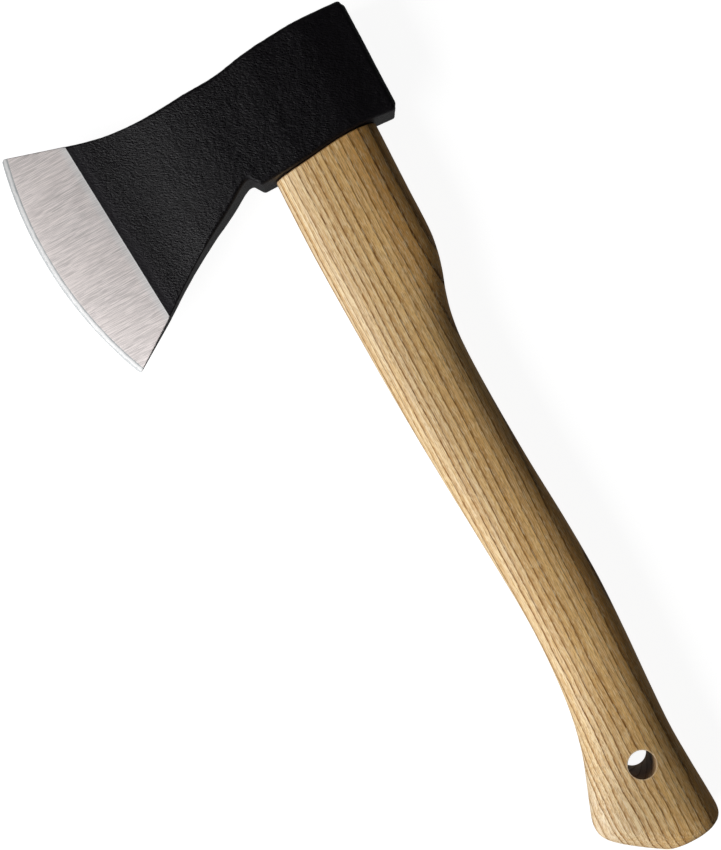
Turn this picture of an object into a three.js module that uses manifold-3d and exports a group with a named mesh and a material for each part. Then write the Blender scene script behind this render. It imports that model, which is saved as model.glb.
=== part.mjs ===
// Hatchet: a forged steel head on an ash handle, held by a wooden wedge and a steel ring wedge.
//
// Millimetres, +Z up. The hatchet lies on its side. The origin is on the flat of the lower cheek,
// under the middle of the eye. +X runs along the handle to the butt and +Y points at the poll,
// so the cutting edge faces -Y. The middle plane of head and handle is Z = MID_Z.

import * as THREE from 'three';
import Module from 'manifold-3d';
import { mergeVertices } from 'three/addons/utils/BufferGeometryUtils.js';

const wasm = await Module();
wasm.setup();

// ---- Driving dimensions ----------------------------------------------------------------------

const CHEEK_THICKNESS = 30;     // across the cheeks at the eye, the thickest place of the hatchet
const MID_Z = CHEEK_THICKNESS / 2;
const FIT_GAP = 0.3;            // between pieces that touch

// Head, seen from the side
const POLL_Y = 35.5;            // striking face of the poll
const POLL_CORNER = 1.6;          // its rounded corners
const TOE = [-35.5, -122.5];    // upper end of the cutting edge
const HEEL = [72.2, -112.6];    // lower end of the cutting edge
const EDGE_RADIUS = 174;        // sweep of the cutting edge
const GRIND_TOP = [-26.8, -95.8]; // the ground bevel starts on the line between these two
const GRIND_LOW = [57.6, -90.2];
const BLADE_ROOT_Y = -62;       // ahead of here the blade's cross lines turn towards the grind line
const RIM = 1.6;                // chamfer around the head, less where the head is thin
const RIM_SHARE = 0.3;          // it never takes more than this share of the half thickness

// Top line of the head as [Y, X], from the toe to the poll
const TOP_LINE = [
  [-122.5, -35.5], [-108, -30.8], [-98, -27.6], [-88, -24.8], [-77, -22.4], [-62, -21],
  [-44, -21.5], [-27, -21.9], [-14, -23.9], [0, -25.5], [12, -26.1], [POLL_Y, -25.9],
];
// Under line of the head as [Y, X]: blade, throat, lug, and the seat on the handle's shoulder
const UNDER_LINE = [
  [-112.6, 72.2], [-97, 61.8], [-88, 55.7], [-78, 48.6], [-68, 42], [-58, 36.1], [-50, 31.9],
  [-43.5, 28.1], [-39.5, 25.5], [-36.6, 23.9], [-34.8, 23.3], [-33.2, 23.6], [-31.8, 25.5],
  [-30.5, 27.3], [-29.4, 27.8], [-26.5, 27.8], [-12.4, 27.2], [-3, 26.3], [8, 25.1], [20, 24.7],
  [POLL_Y, 26],
];
// Half thickness of the head as [Y, half thickness]
const GRIND_HALF = 4.1;
const LAND_HALF = 11;           // the cheeks are flat this far each side of the eye's middle
const HEAD_HALF = [
  [-93, GRIND_HALF], [-86, 4.8], [-78, 5.8], [-70, 7.3], [-62, 9.1], [-52, 11.1], [-40, 12.8],
  [-27, 13.9], [-18, 14.6], [-LAND_HALF, MID_Z], [LAND_HALF, MID_Z], [18, 14.4], [28, 13],
  [POLL_Y, 12.2],
];
const MICRO_WIDTH = 2.6;        // the narrow honed bevel at the very edge
const MICRO_HALF = 0.7;
const EDGE_HALF = 0.08;

// Eye: an oval hole through the head along X
const EYE_LENGTH = 44;
const EYE_WIDTH = 19;

// Handle
const SHOULDER_X = 28.5;        // the shoulder beds on the head's under line, just before here
const TONGUE_PROUD = 0.4;       // the tongue stands this far out of the head's top
const BUTT_X = 353.2;
const BUTT_MIDDLE_Y = 1;
// Front (edge side) and back (poll side) lines of the handle as [X, Y]
const FRONT_LINE = [
  [28, -24.2], [60, -24.6], [95, -23.9], [141, -22.4], [177, -20.4], [211, -18.2],
  [240, -16.7], [262, -17], [283, -18.8], [301, -22.4], [314, -26.8], [324, -30.5],
  [331, -32.6], [336.3, -31.9], [341, -27.9], [347.4, -19.3], [351.9, -12.3], [352.9, -10.6],
  [BUTT_X, -9.4],
];
const BACK_LINE = [
  [28, 24.6], [55, 24.2], [76, 24], [85, 22.8], [93, 20.8], [102, 17.8], [111, 15.6],
  [123, 14.2], [145, 14.1], [180, 15.4], [212, 17.5], [238, 18.4], [262, 17.8], [288, 16.5],
  [308, 15.8], [325, 16.4], [343, 17.4], [348.4, 17.2], [351, 15.8], [352.5, 13.4],
  [BUTT_X, 11.4],
];
// Half thickness of the handle as [X, half thickness]
const SIDE_LINE = [
  [28, 13], [60, 12.9], [100, 12.2], [160, 11.6], [230, 11.7], [280, 12.4], [312, 13.4],
  [332, 14], [345, 13.9], [350, 13.2], [352.4, 11.8], [BUTT_X, 10.2],
];
const SECTION_POWER = 2.4;      // 2 is an ellipse; more is squarer
const TONGUE_POWER = 2.3;
const HANG_HOLE = [314.4, -3.1];
const HANG_HOLE_RADIUS = 6;

// Wooden wedge in the sawn kerf of the tongue
const WEDGE_TIP_X = 10;
const WEDGE_WIDTH = 41;
const WEDGE_TOP_HALF = 2.5;
const WEDGE_TIP_HALF = 0.8;
const WEDGE_OVER = 4;           // the kerf and the ring's groove are cut from this far outside
const KERF_SPARE = 4;           // the kerf is sawn this much deeper than the wedge reaches

// Steel ring wedge, driven in across the wooden wedge
const RING_TOP_X = -26;
const RING_HEIGHT = 12;
const RING_OUTER = 7.5;
const RING_INNER = 5.9;
const RING_TIP_OUTER = 6.5;     // it is sharpened from outside at its driven end
const RING_STRAIGHT = 0.35;     // above the sharpened part, as a share of its height

// ---- Helpers ---------------------------------------------------------------------------------

// A smooth line through [place, value] points: a cubic with the chord slopes of its neighbours.
function lineThrough(points) {
  const slope = (i) => {
    const a = points[Math.max(i - 1, 0)];
    const b = points[Math.min(i + 1, points.length - 1)];
    return (b[1] - a[1]) / (b[0] - a[0]);
  };
  return (place) => {
    let i = 0;
    while (i < points.length - 2 && place > points[i + 1][0]) i += 1;
    const [p0, v0] = points[i];
    const [p1, v1] = points[i + 1];
    const step = p1 - p0;
    const u = Math.min(Math.max((place - p0) / step, 0), 1);
    // Straight stretches stay straight: no slope is carried over between two equal values
    const flat = v0 === v1;
    const m0 = flat ? 0 : slope(i) * step;
    const m1 = flat ? 0 : slope(i + 1) * step;
    const u2 = u * u;
    const u3 = u2 * u;
    return (2 * u3 - 3 * u2 + 1) * v0 + (u3 - 2 * u2 + u) * m0
      + (3 * u2 - 2 * u3) * v1 + (u3 - u2) * m1;
  };
}

const mix = (a, b, t) => a + (b - a) * t;
const mixPoint = (a, b, t) => [mix(a[0], b[0], t), mix(a[1], b[1], t)];

// Moves every vertex of a three.js geometry by place(x, y, z) and keeps it a closed body.
function reshape(geometry, place) {
  geometry.deleteAttribute('normal');
  geometry.deleteAttribute('uv');
  const merged = mergeVertices(geometry, 1e-5);
  const position = merged.attributes.position;
  for (let i = 0; i < position.count; i += 1) {
    const [x, y, z] = place(position.getX(i), position.getY(i), position.getZ(i));
    position.setXYZ(i, x, y, z);
  }
  return merged;
}

function toSolid(geometry) {
  const bare = geometry.clone();
  bare.deleteAttribute('normal');
  bare.deleteAttribute('uv');
  const merged = mergeVertices(bare, 1e-4);
  const vertProperties = new Float32Array(merged.attributes.position.array);
  const triVerts = new Uint32Array(merged.index.array);
  return new wasm.Manifold(new wasm.Mesh({ numProp: 3, vertProperties, triVerts }));
}

function toGeometry(solid) {
  const mesh = solid.getMesh();
  const geometry = new THREE.BufferGeometry();
  geometry.setAttribute('position', new THREE.BufferAttribute(new Float32Array(mesh.vertProperties), 3));
  geometry.setIndex(new THREE.BufferAttribute(new Uint32Array(mesh.triVerts), 1));
  geometry.computeVertexNormals();
  return geometry;
}

function cut(geometry, ...tools) {
  let solid = toSolid(geometry);
  for (const tool of tools) solid = solid.subtract(toSolid(tool));
  return toGeometry(solid);
}

// A point of a squared ellipse at an angle
function squareOval(angle, halfLong, halfWide, power) {
  const c = Math.cos(angle);
  const s = Math.sin(angle);
  return [
    halfLong * Math.sign(c) * Math.abs(c) ** (2 / power),
    halfWide * Math.sign(s) * Math.abs(s) ** (2 / power),
  ];
}

// An oval bar along X, between two X places, about the middle plane
function ovalBar(length, width, power, fromX, toX) {
  const steps = 40;
  const shape = new THREE.Shape();
  for (let i = 0; i < steps; i += 1) {
    const [y, z] = squareOval((2 * Math.PI * i) / steps, length / 2, width / 2, power);
    if (i === 0) shape.moveTo(y, z);
    else shape.lineTo(y, z);
  }
  shape.closePath();
  const bar = new THREE.ExtrudeGeometry(shape, { depth: toX - fromX, bevelEnabled: false });
  // The shape's x, y and depth become Y, Z and X
  bar.applyMatrix4(new THREE.Matrix4().set(0, 0, 1, fromX, 1, 0, 0, 0, 0, 1, 0, MID_Z, 0, 0, 0, 1));
  return bar;
}

// ---- Head ------------------------------------------------------------------------------------

const topLine = lineThrough(TOP_LINE);
const underLine = lineThrough(UNDER_LINE);
const headHalf = lineThrough(HEAD_HALF);

// How far a rounded poll corner comes in from the straight line at this Y
function cornerInset(y) {
  const along = Math.max(y - (POLL_Y - POLL_CORNER), 0);
  return POLL_CORNER - Math.sqrt(Math.max(POLL_CORNER ** 2 - along ** 2, 0));
}

const headTop = (y) => [topLine(y) + cornerInset(y), y];
const headUnder = (y) => [underLine(y) - cornerInset(y), y];

// The cutting edge: an arc of EDGE_RADIUS from the toe, s = 0, to the heel, s = 1
function edgePoint(s) {
  const chord = new THREE.Vector2(HEEL[0] - TOE[0], HEEL[1] - TOE[1]);
  const half = chord.length() / 2;
  const middle = new THREE.Vector2((TOE[0] + HEEL[0]) / 2, (TOE[1] + HEEL[1]) / 2);
  const inward = new THREE.Vector2(-chord.y, chord.x).normalize();
  const centre = middle.addScaledVector(inward, Math.sqrt(EDGE_RADIUS ** 2 - half ** 2));
  const start = Math.atan2(TOE[1] - centre.y, TOE[0] - centre.x);
  const end = Math.atan2(HEEL[1] - centre.y, HEEL[0] - centre.x);
  const angle = mix(start, end, s);
  return [centre.x + EDGE_RADIUS * Math.cos(angle), centre.y + EDGE_RADIUS * Math.sin(angle)];
}

// A point of the bevel: w = 0 on the grind line, w = 1 on the edge. It is the blend of those two
// lines that also keeps to the top line at s = 0 and to the under line at s = 1.
function bevelPoint(s, w) {
  const plain = (q) => mixPoint(mixPoint(GRIND_TOP, GRIND_LOW, q), edgePoint(q), w);
  const [px, py] = plain(s);
  const top = headTop(plain(0)[1]);
  const under = headUnder(plain(1)[1]);
  return [px + (1 - s) * (top[0] - plain(0)[0]) + s * (under[0] - plain(1)[0]), py];
}

// The head's cross lines, from the poll to the edge. Each gives a side view point and the half
// thickness there.
function crossLine(y) {
  return (s) => {
    const [x] = mixPoint(headTop(y), headUnder(y), s);
    return [x, y, headHalf(y)];
  };
}

function turningLine(t) {
  return (s) => {
    const grind = mixPoint(GRIND_TOP, GRIND_LOW, s);
    const topY = mix(BLADE_ROOT_Y, GRIND_TOP[1], t);
    const underY = mix(BLADE_ROOT_Y, GRIND_LOW[1], t);
    const [x] = mixPoint(headTop(topY), headUnder(underY), s);
    const levelY = mix(BLADE_ROOT_Y, (GRIND_TOP[1] + GRIND_LOW[1]) / 2, t);
    return [x, mix(BLADE_ROOT_Y, grind[1], t), headHalf(levelY)];
  };
}

function bevelLine(w) {
  return (s) => {
    const [gx, gy] = bevelPoint(s, 0);
    const [ex, ey] = edgePoint(s);
    const width = Math.hypot(ex - gx, ey - gy);
    const honed = 1 - MICRO_WIDTH / width;
    if (w === 'honed') return [...bevelPoint(s, honed), MICRO_HALF];
    const at = w * honed;
    return [...bevelPoint(s, at), mix(GRIND_HALF, MICRO_HALF, w)];
  };
}

const CROSS_LINES = [
  ...[POLL_Y, 35, 34, 32.5, 28, 22, 16, LAND_HALF, 0, -LAND_HALF, -16, -22, -26.5, -29.4, -30.5,
    -31.8, -33.2, -34.8, -36.6, -39.5, -43.5, -48, -53, -58, BLADE_ROOT_Y].map(crossLine),
  ...[0.2, 0.4, 0.6, 0.8].map(turningLine),
  ...[0, 0.34, 0.67].map(bevelLine),
  bevelLine('honed'),
  (s) => [...edgePoint(s), EDGE_HALF],
];

// A box of cross lines: s runs across from the top line to the under line, and five levels run
// from the lower cheek to the upper one. The outermost levels stand in by the rim chamfer.
function headBlank() {
  const across = 16;
  const along = CROSS_LINES.length - 1;
  const levels = 4;
  const outermost = levels / 2;
  return reshape(new THREE.BoxGeometry(1, 1, 1, across, along, levels), (x, y, z) => {
    const s = x + 0.5;
    const row = Math.round((0.5 - y) * along);
    const level = Math.round(z * levels);
    const [px, py, half] = CROSS_LINES[row](s);
    const rim = Math.min(RIM, half * RIM_SHARE);
    const inset = Math.abs(level) === outermost ? rim : 0;
    const height = Math.abs(level) === outermost ? half : half - rim;
    const pollInset = row === 0 ? inset : 0;
    return [
      px + inset * (1 - 2 * s),
      py - pollInset,
      MID_Z + Math.sign(level) * height,
    ];
  });
}

function axeHead() {
  const eye = ovalBar(EYE_LENGTH, EYE_WIDTH, TONGUE_POWER, TOE[0], HEEL[0]);
  return cut(headBlank(), eye);
}

// ---- Handle ----------------------------------------------------------------------------------

const frontLine = lineThrough(FRONT_LINE);
const backLine = lineThrough(BACK_LINE);
const sideLine = lineThrough(SIDE_LINE);

// Places along the handle, closer where it bends and at the rounded butt
const HANDLE_PLACES = [
  30.5, 40, 52, 64, 74, 80, 85, 90, 95, 100, 105, 111, 118, 127, 138, 152, 168, 184, 200, 216,
  230, 242, 253, 264, 275, 285, 294, 302, 309, 316, 322, 327, 331, 334.5, 338, 341.5, 345,
  348.2, 350.4, 351.9, 352.8, BUTT_X,
];

// Rows of the handle: the tongue's end, its foot, the shoulder, then each place
function handleRow(row, angle) {
  const tongue = squareOval(angle, EYE_LENGTH / 2 - FIT_GAP, EYE_WIDTH / 2 - FIT_GAP, TONGUE_POWER);
  const shoulder = (y) => underLine(y) + FIT_GAP;
  if (row === 0) return [topLine(tongue[0]) - TONGUE_PROUD, ...tongue];
  if (row === 1) return [shoulder(tongue[0]), ...tongue];
  const x = row === 2 ? SHOULDER_X : HANDLE_PLACES[row - 3];
  const middle = (frontLine(x) + backLine(x)) / 2;
  const [y, z] = squareOval(angle, (backLine(x) - frontLine(x)) / 2, sideLine(x), SECTION_POWER);
  return [row === 2 ? shoulder(y + middle) : x, y + middle, z];
}

function handleBlank() {
  const around = 36;
  const rows = HANDLE_PLACES.length + 2;
  return reshape(new THREE.CylinderGeometry(1, 1, 1, around, rows), (x, y, z) => {
    const row = Math.round((0.5 - y) * rows);
    const angle = Math.atan2(z, x);
    const [px, py, pz] = handleRow(row, angle);
    if (Math.hypot(x, z) > 0.5) return [px, py, MID_Z + pz];
    // The middle of an end
    return row === 0 ? [topLine(0) - TONGUE_PROUD, 0, MID_Z] : [BUTT_X, BUTT_MIDDLE_Y, MID_Z];
  });
}

// Half the wooden wedge's thickness at a place along it
function wedgeHalf(x) {
  const slope = (WEDGE_TOP_HALF - WEDGE_TIP_HALF) / (WEDGE_TIP_X - RING_TOP_X);
  return WEDGE_TIP_HALF + slope * (WEDGE_TIP_X - x);
}

// The kerf: the wedge's outline in X and Z, wider by the gap and deeper
function kerf() {
  const top = RING_TOP_X - WEDGE_OVER;
  const tip = WEDGE_TIP_X + KERF_SPARE;
  const topHalf = wedgeHalf(top) + FIT_GAP;
  const tipHalf = WEDGE_TIP_HALF + FIT_GAP;
  const shape = new THREE.Shape();
  shape.moveTo(top, -topHalf);
  shape.lineTo(tip, -tipHalf);
  shape.lineTo(tip, tipHalf);
  shape.lineTo(top, topHalf);
  shape.closePath();
  const width = EYE_LENGTH + WEDGE_OVER;
  const slot = new THREE.ExtrudeGeometry(shape, { depth: width, bevelEnabled: false });
  slot.rotateX(Math.PI / 2);
  slot.translate(0, width / 2, MID_Z);
  return slot;
}

// A round bar or ring about the eye's middle line; points are [radius, X]
function turned(points) {
  const lathe = new THREE.LatheGeometry(points.map(([r, x]) => new THREE.Vector2(r, x)), 32);
  lathe.rotateZ(-Math.PI / 2);
  lathe.translate(0, 0, MID_Z);
  return lathe;
}

// The ring wedge, or the groove that it makes: a closed ring section
function ringSection(gap, above) {
  const top = RING_TOP_X - above;
  const tip = RING_TOP_X + RING_HEIGHT + gap;
  return turned([
    [RING_INNER - gap, top],
    [RING_OUTER + gap, top],
    [RING_OUTER + gap, RING_TOP_X + RING_HEIGHT * RING_STRAIGHT],
    [RING_TIP_OUTER + gap, tip],
    [RING_INNER - gap, tip],
    [RING_INNER - gap, top],
  ]);
}

function handle() {
  const through = CHEEK_THICKNESS + 4;
  const hole = new THREE.CylinderGeometry(HANG_HOLE_RADIUS, HANG_HOLE_RADIUS, through, 32);
  hole.rotateX(Math.PI / 2);
  hole.translate(HANG_HOLE[0], HANG_HOLE[1], MID_Z);
  return cut(handleBlank(), kerf(), ringSection(FIT_GAP, WEDGE_OVER), hole);
}

// ---- Wedges ----------------------------------------------------------------------------------

// The wooden wedge: a tapered plate whose top follows the head's top line
function woodenWedge() {
  const plate = reshape(new THREE.BoxGeometry(1, 1, 1, 6, 14, 1), (x, y, z) => {
    const py = y * WEDGE_WIDTH;
    const top = topLine(py) - TONGUE_PROUD;
    const px = mix(top, WEDGE_TIP_X, x + 0.5);
    return [px, py, MID_Z + Math.sign(z) * wedgeHalf(px)];
  });
  return cut(plate, ringSection(FIT_GAP, WEDGE_OVER));
}

function ringWedge() {
  return ringSection(0, 0);
}

// ---- Assembly --------------------------------------------------------------------------------

function piece(name, geometry, color, roughness, metalness) {
  const material = new THREE.MeshStandardMaterial({ color, roughness, metalness });
  const mesh = new THREE.Mesh(geometry, material);
  mesh.name = name;
  return mesh;
}

const group = new THREE.Group();
group.add(piece('axe_head', axeHead(), 0x1c1c1f, 0.5, 0.6));
group.add(piece('handle', handle(), 0xc9a06a, 0.6, 0));
group.add(piece('wooden_wedge', woodenWedge(), 0xb88a58, 0.7, 0));
group.add(piece('ring_wedge', ringWedge(), 0x8a8a8c, 0.4, 0.9));

export default group;
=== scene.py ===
"""A hatchet lying on its side: a forged and lacquered head with a ground bevel, an ash handle,
the wooden wedge and the steel ring wedge, on a pale floor in soft studio light.

Shapes are worked out in millimetres and scaled to metres when a mesh is made. The frame is the
CAD frame: +X along the handle to the butt, +Y to the poll, +Z up, the cutting edge at -Y.
"""
import math
import bmesh
import bpy
import numpy as np
from mathutils import Matrix, Vector


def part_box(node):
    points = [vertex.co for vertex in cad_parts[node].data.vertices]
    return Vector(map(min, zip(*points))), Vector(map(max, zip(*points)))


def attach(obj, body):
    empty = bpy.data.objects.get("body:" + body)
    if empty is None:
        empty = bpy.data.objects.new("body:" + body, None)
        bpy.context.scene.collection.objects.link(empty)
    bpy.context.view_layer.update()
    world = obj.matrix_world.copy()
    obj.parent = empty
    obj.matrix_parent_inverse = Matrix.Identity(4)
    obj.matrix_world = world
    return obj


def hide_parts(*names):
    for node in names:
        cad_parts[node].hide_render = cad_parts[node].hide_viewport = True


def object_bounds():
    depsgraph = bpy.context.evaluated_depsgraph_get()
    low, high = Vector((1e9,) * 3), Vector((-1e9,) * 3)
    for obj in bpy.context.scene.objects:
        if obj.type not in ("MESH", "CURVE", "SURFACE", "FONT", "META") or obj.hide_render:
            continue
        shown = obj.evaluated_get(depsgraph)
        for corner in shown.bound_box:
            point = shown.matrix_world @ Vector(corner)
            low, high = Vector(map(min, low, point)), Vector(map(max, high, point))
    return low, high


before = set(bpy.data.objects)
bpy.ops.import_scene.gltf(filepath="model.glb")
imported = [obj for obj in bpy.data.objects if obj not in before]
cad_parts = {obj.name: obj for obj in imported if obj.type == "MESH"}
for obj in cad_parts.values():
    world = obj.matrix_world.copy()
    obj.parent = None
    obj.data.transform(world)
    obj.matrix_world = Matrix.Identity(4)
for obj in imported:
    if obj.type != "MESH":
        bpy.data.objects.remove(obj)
cad_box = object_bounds()

MM = 0.001
MID_Z = 15.0                    # middle plane of head and handle

# ---- Driving dimensions of the head, in millimetres: its outline is the CAD's ------------------

POLL_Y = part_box("axe_head")[1].y / MM
TOE = np.array([-35.5, -122.5])
HEEL = np.array([72.2, -112.6])
EDGE_RADIUS = 174
GRIND_TOP = np.array([-26.8, -95.8])
GRIND_LOW = np.array([57.6, -90.2])
GRIND_LEVEL_Y = (GRIND_TOP[1] + GRIND_LOW[1]) / 2
THROAT_END_Y = -48              # the throat's tight curves lie behind this
BLADE_ROOT_Y = -62              # from here on the rows across the blade turn to the grind line
TOP_LINE = [                    # X of the top line at a Y
    (-122.5, -35.5), (-108, -30.8), (-98, -27.6), (-88, -24.8), (-77, -22.4), (-62, -21),
    (-44, -21.5), (-27, -21.9), (-14, -23.9), (0, -25.5), (12, -26.1), (POLL_Y, -25.9),
]
UNDER_LINE = [                  # X of the under line at a Y
    (-112.6, 72.2), (-97, 61.8), (-88, 55.7), (-78, 48.6), (-68, 42), (-58, 36.1), (-50, 31.9),
    (-43.5, 28.1), (-39.5, 25.5), (-36.6, 23.9), (-34.8, 23.3), (-33.2, 23.6), (-31.8, 25.5),
    (-30.5, 27.3), (-29.4, 27.8), (-26.5, 27.8), (-12.4, 27.2), (-3, 26.3), (8, 25.1), (20, 24.7),
    (POLL_Y, 26),
]
GRIND_HALF = 4.1                # half the thickness at the grind line
LAND_HALF = 11                  # the cheek is flat over the eye, this far each way
HEAD_HALF = [                   # half the thickness at a Y
    (GRIND_LEVEL_Y, GRIND_HALF), (-86, 4.8), (-78, 5.8), (-70, 7.3), (-62, 9.1), (-52, 11.1), (-40, 12.8),
    (-27, 13.9), (-18, 14.6), (-LAND_HALF, MID_Z), (LAND_HALF, MID_Z), (18, 14.4), (28, 13),
    (POLL_Y, 12.2),
]
HONED_WIDTH = 2.6               # the narrow honed bevel at the very edge
HONED_HALF = 0.7                # half the thickness where it starts
BEVEL_CROWN = 0.12              # the bevel swells by this much in its middle
HONED_CROWN = 0.35              # and the honed one by this share of its thickness
POLL_CORNER = 1.6               # rounded corners of the poll, seen from the side
FORGED_RADIUS = 2.2             # soft rims of the forged body
BLADE_RADIUS = 0.9              # and of the thinner blade
BLADE_RADIUS_FADES = (BLADE_ROOT_Y - 8, BLADE_ROOT_Y + 14)     # one turns into the other here
POLL_RADIUS = 2.8               # at the poll
POLL_RADIUS_FADES = 14          # over this much of the poll
GROUND_RADIUS = 0.35            # crisper where the bevel is ground
RIM_SHARE = 0.3                 # and never more than this share of half the thickness there
TOE_RADIUS = 1.5                # worn corners of the cutting edge
HEEL_RADIUS = 0.8
WAVE_DEPTH = 0.10               # the forged skin: long waves
WAVE_SIZE = 11
WRINKLE_DEPTH = 0.06            # hammered wrinkles
WRINKLE_SIZE = 2.1
FINE_DEPTH = 0.05               # finer ones between them
FINE_SIZE = 1.3
PIT_DEPTH = 0.16                # and a few pits
PIT_SIZE = 2.4
FAR_FROM_GRIND = -60.0          # what the body's finish reads: well behind the grind line
FAR_FROM_EDGE = 90.0            # and well away from the edge
LACQUERED = -5.0                # just behind the grind line, so under the lacquer
NO_FACE = 1e3                   # a distance for a face that a row doesn't have
EYE_LENGTH = 44
EYE_WIDTH = 19
TONGUE_POWER = 2.3

# ---- Driving dimensions of the handle -----------------------------------------------------------

SHOULDER_X = 28.5
SHOULDER_CHAMFER = 0.4
TONGUE_PROUD = 0.4
FIT_GAP = 0.3
BUTT_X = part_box("handle")[1].x / MM
FRONT_LINE = [
    (28, -24.2), (60, -24.6), (95, -23.9), (141, -22.4), (177, -20.4), (211, -18.2),
    (240, -16.7), (262, -17), (283, -18.8), (301, -22.4), (314, -26.8), (324, -30.5),
    (331, -32.6), (336.3, -31.9), (341, -27.9), (347.4, -19.3), (351.9, -12.3), (352.9, -10.6),
    (BUTT_X, -9.4),
]
BACK_LINE = [
    (28, 24.6), (55, 24.2), (76, 24), (85, 22.8), (93, 20.8), (102, 17.8), (111, 15.6),
    (123, 14.2), (145, 14.1), (180, 15.4), (212, 17.5), (238, 18.4), (262, 17.8), (288, 16.5),
    (308, 15.8), (325, 16.4), (343, 17.4), (348.4, 17.2), (351, 15.8), (352.5, 13.4),
    (BUTT_X, 11.4),
]
SIDE_LINE = [
    (28, 13), (60, 12.9), (100, 12.2), (160, 11.6), (230, 11.7), (280, 12.4), (312, 13.4),
    (332, 14), (345, 13.9), (350, 13.2), (352.4, 11.8), (BUTT_X, 10.2),
]
SECTION_POWER = 2.4
HOLE = np.array([314.4, -3.1])
HOLE_RADIUS = 6
HOLE_ROUNDING = 0.25
HOLE_WINDOW = 11                # the hole's patch of the skin reaches this far along the handle
KNOB_X = 326                    # the butt's knob begins
BUTT_CORNERS_X = 344            # its corners begin
BUTT_TURN_X = 351.2             # and the skin turns over the end
KERF_BOTTOM_X = 14
KERF_BOTTOM_HALF = 1.1
KERF_SLOPE = 0.043              # the kerf's half width grows by this much per millimetre
KERF_WEB_X = SHOULDER_X - 1.5   # under the kerf its line runs on to a point here

TONGUE_TOP_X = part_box("ring_wedge")[0].x / MM


# ---- Helpers for shapes ---------------------------------------------------------------------------

def line_through(points):
    """A smooth line through (place, value) points: a cubic with the chord slopes of its neighbours."""
    place, value = np.array(points, float).T
    slope = np.gradient(value, place)
    slope[1:-1] = (value[2:] - value[:-2]) / (place[2:] - place[:-2])

    def line(at):
        at = np.asarray(at, float)
        i = np.clip(np.searchsorted(place, at, side="right") - 1, 0, len(place) - 2)
        step = place[i + 1] - place[i]
        u = np.clip((at - place[i]) / step, 0, 1)
        level = value[i] == value[i + 1]
        m0 = np.where(level, 0, slope[i]) * step
        m1 = np.where(level, 0, slope[i + 1]) * step
        return ((2 * u**3 - 3 * u**2 + 1) * value[i] + (u**3 - 2 * u**2 + u) * m0
                + (3 * u**2 - 2 * u**3) * value[i + 1] + (u**3 - u**2) * m1)
    return line


def mix(a, b, t):
    """From a at t = 0 to b at t = 1, in a straight line."""
    return a + (b - a) * t


def smooth(low, high, value):
    """0 below low, 1 above high, and a smooth step between."""
    t = np.clip((value - low) / (high - low), 0, 1)
    return t * t * (3 - 2 * t)


def steps(start, end, size):
    """Even places from start to end, no further apart than size, without the first."""
    count = max(int(math.ceil(abs(end - start) / size)), 1)
    return np.linspace(start, end, count + 1)[1:]


def rolling_noise(u, v, size, seed):
    """Soft bumps from -1 to 1: random heights on a square lattice of that size, joined smoothly."""
    lattice = np.random.default_rng(seed).uniform(-1, 1, (251, 241))
    u, v = u / size + 100, v / size + 100
    i, j = np.floor(u).astype(int), np.floor(v).astype(int)
    fu, fv = smooth(0, 1, u - i), smooth(0, 1, v - j)

    def at(di, dj):
        return lattice[(i + di) % 251, (j + dj) % 241]
    return mix(mix(at(0, 0), at(1, 0), fu), mix(at(0, 1), at(1, 1), fu), fv)


def oval(angle, half_long, half_wide, power):
    """A point of a squared ellipse: each of cosine and sine to the power 2 / power."""
    c, s = np.cos(angle), np.sin(angle)
    return (half_long * np.sign(c) * np.abs(c) ** (2 / power),
            half_wide * np.sign(s) * np.abs(s) ** (2 / power))


def oval_height(y, half_long, half_wide, power):
    """The height of that squared ellipse over a place y on its long axis."""
    rest = 1 - np.clip(np.abs(y) / half_long, 0, 1) ** power
    return half_wide * np.clip(rest, 0, 1) ** (1 / power)


def stacked(*channels):
    """One grid of points from arrays of X, Y, Z and any further values, spread to one shape."""
    return np.stack(np.broadcast_arrays(*channels), -1).astype(float)


def closed_mesh(name, patches, values=(), sharp=40):
    """Joins grids of points in millimetres into one closed mesh. The channels after X, Y and Z
    become the named values of each vertex. Grids that share an edge are welded there."""
    points, quads, start = [], [], 0
    for patch in patches:
        rows, columns = patch.shape[:2]
        index = start + np.arange(rows * columns).reshape(rows, columns)
        quads.append(np.stack([index[:-1, :-1], index[1:, :-1], index[1:, 1:], index[:-1, 1:]],
                              -1).reshape(-1, 4))
        points.append(patch.reshape(rows * columns, -1))
        start += rows * columns
    points, quads = np.concatenate(points), np.concatenate(quads)
    mesh = bpy.data.meshes.new(name)
    mesh.vertices.add(len(points))
    mesh.vertices.foreach_set("co", (points[:, :3] * MM).ravel())
    mesh.loops.add(quads.size)
    mesh.loops.foreach_set("vertex_index", quads.ravel())
    mesh.polygons.add(len(quads))
    mesh.polygons.foreach_set("loop_start", np.arange(0, quads.size, 4))
    mesh.update(calc_edges=True)
    for k, value in enumerate(values):
        layer = mesh.attributes.new(value, "FLOAT", "POINT")
        layer.data.foreach_set("value", points[:, 3 + k].astype(np.float32))
    work = bmesh.new()
    work.from_mesh(mesh)
    bmesh.ops.remove_doubles(work, verts=work.verts, dist=0.002 * MM)
    bmesh.ops.dissolve_degenerate(work, edges=work.edges, dist=0.0002 * MM)
    bmesh.ops.recalc_face_normals(work, faces=work.faces)
    if work.calc_volume(signed=True) < 0:
        bmesh.ops.reverse_faces(work, faces=work.faces)
    work.to_mesh(mesh)
    work.free()
    mesh.shade_smooth()
    mesh.set_sharp_from_angle(angle=math.radians(sharp))
    piece = bpy.data.objects.new(name, mesh)
    bpy.context.scene.collection.objects.link(piece)
    return piece


# ---- Camera, floor and light, in metres -----------------------------------------------------------

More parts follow.
